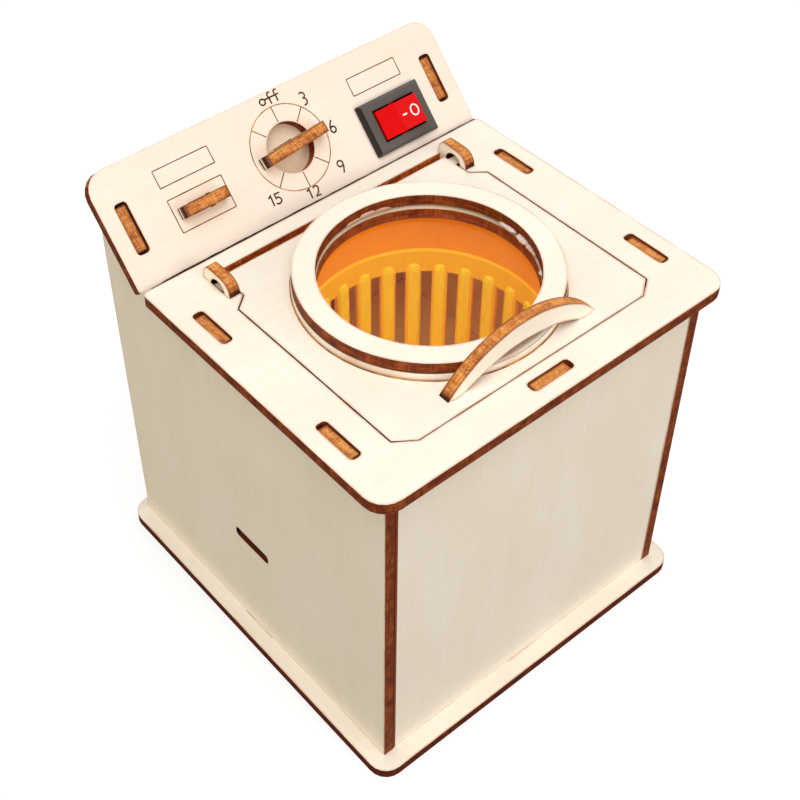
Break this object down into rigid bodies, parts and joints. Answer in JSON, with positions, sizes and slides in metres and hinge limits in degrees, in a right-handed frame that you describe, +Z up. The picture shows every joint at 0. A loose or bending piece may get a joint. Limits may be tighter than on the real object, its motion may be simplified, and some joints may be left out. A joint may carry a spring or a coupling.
{
  "type": "toy washing machine",
  "caption": "Laser-cut plywood toy washing machine: cabinet with a tilted control panel, hinged lid with a round window, and a motor-driven slotted drum.",
  "frame": {"origin": "centre of the base plate's underside", "axes": "+X to the right seen from the front, +Y to the rear, +Z up"},
  "size_m": [0.1144, 0.1216, 0.1358],
  "materials": {
    "plywood": "bare birch-faced plywood, laser-burnt edges",
    "clear_sheet": "clear polished sheet",
    "orange_plastic": "moulded, satin gloss",
    "black_plastic": "moulded, fine matt",
    "red_plastic": "moulded, gloss",
    "white_plastic": "moulded, plain",
    "steel": "plated, drawn",
    "brass": "stamped",
    "battery_jacket": "plain printed sleeve",
    "red_lead": "insulated lead",
    "black_lead": "insulated lead"
  },
  "bodies": {
    "cabinet": {"base_plate": "plywood", "left_side_panel": "plywood", "right_side_panel": "plywood", "front_panel": "plywood", "rear_panel": "plywood", "motor_shelf": "plywood", "top_plate": "plywood", "lid_rest_strip": "plywood", "control_panel": "plywood", "left_hinge_eye": "plywood", "right_hinge_eye": "plywood", "drawer_pull": "plywood", "switch_housing": "black_plastic", "switch_terminal_left": "brass", "switch_terminal_right": "brass", "motor_can": "steel", "motor_end_cap": "white_plastic", "motor_terminal_left": "brass", "motor_terminal_right": "brass", "motor_clamp": "white_plastic", "clamp_screw_left": "steel", "clamp_screw_right": "steel", "battery_tray": "black_plastic", "battery_front": "battery_jacket", "battery_rear": "battery_jacket", "battery_link": "steel", "battery_tab_plus": "steel", "battery_tab_minus": "steel", "lead_battery_to_switch": "red_lead", "lead_switch_to_motor": "red_lead", "lead_motor_to_battery": "black_lead"},
    "lid": {"lid_panel": "plywood", "lid_window": "clear_sheet", "lid_ring": "plywood", "lid_handle": "plywood"},
    "knob": {"knob_bar": "plywood", "knob_disc": "plywood"},
    "rocker": {"switch_rocker": "red_plastic"},
    "drum": {"drum": "orange_plastic", "drum_hub": "white_plastic", "motor_shaft": "steel"}
  },
  "joints": [
    {"name": "lid_hinge", "type": "hinge", "parent": "cabinet", "child": "lid", "pos_m": [0, 0.02155, 0.1117], "axis": [-1, 0, 0], "range_deg": [0, 50]},
    {"name": "knob_turn", "type": "hinge", "parent": "cabinet", "child": "knob", "pos_m": [0, 0.04414, 0.12401], "axis": [0, -0.7298, 0.6837], "continuous": true},
    {"name": "rocker_tip", "type": "hinge", "parent": "cabinet", "child": "rocker", "pos_m": [0.0335, 0.0397, 0.12001], "axis": [0, 0.6837, 0.7298], "range_deg": [0, 17]},
    {"name": "drum_spin", "type": "hinge", "parent": "cabinet", "child": "drum", "pos_m": [0, -0.01105, 0.0473], "axis": [0, 0, 1], "continuous": true}
  ]
}
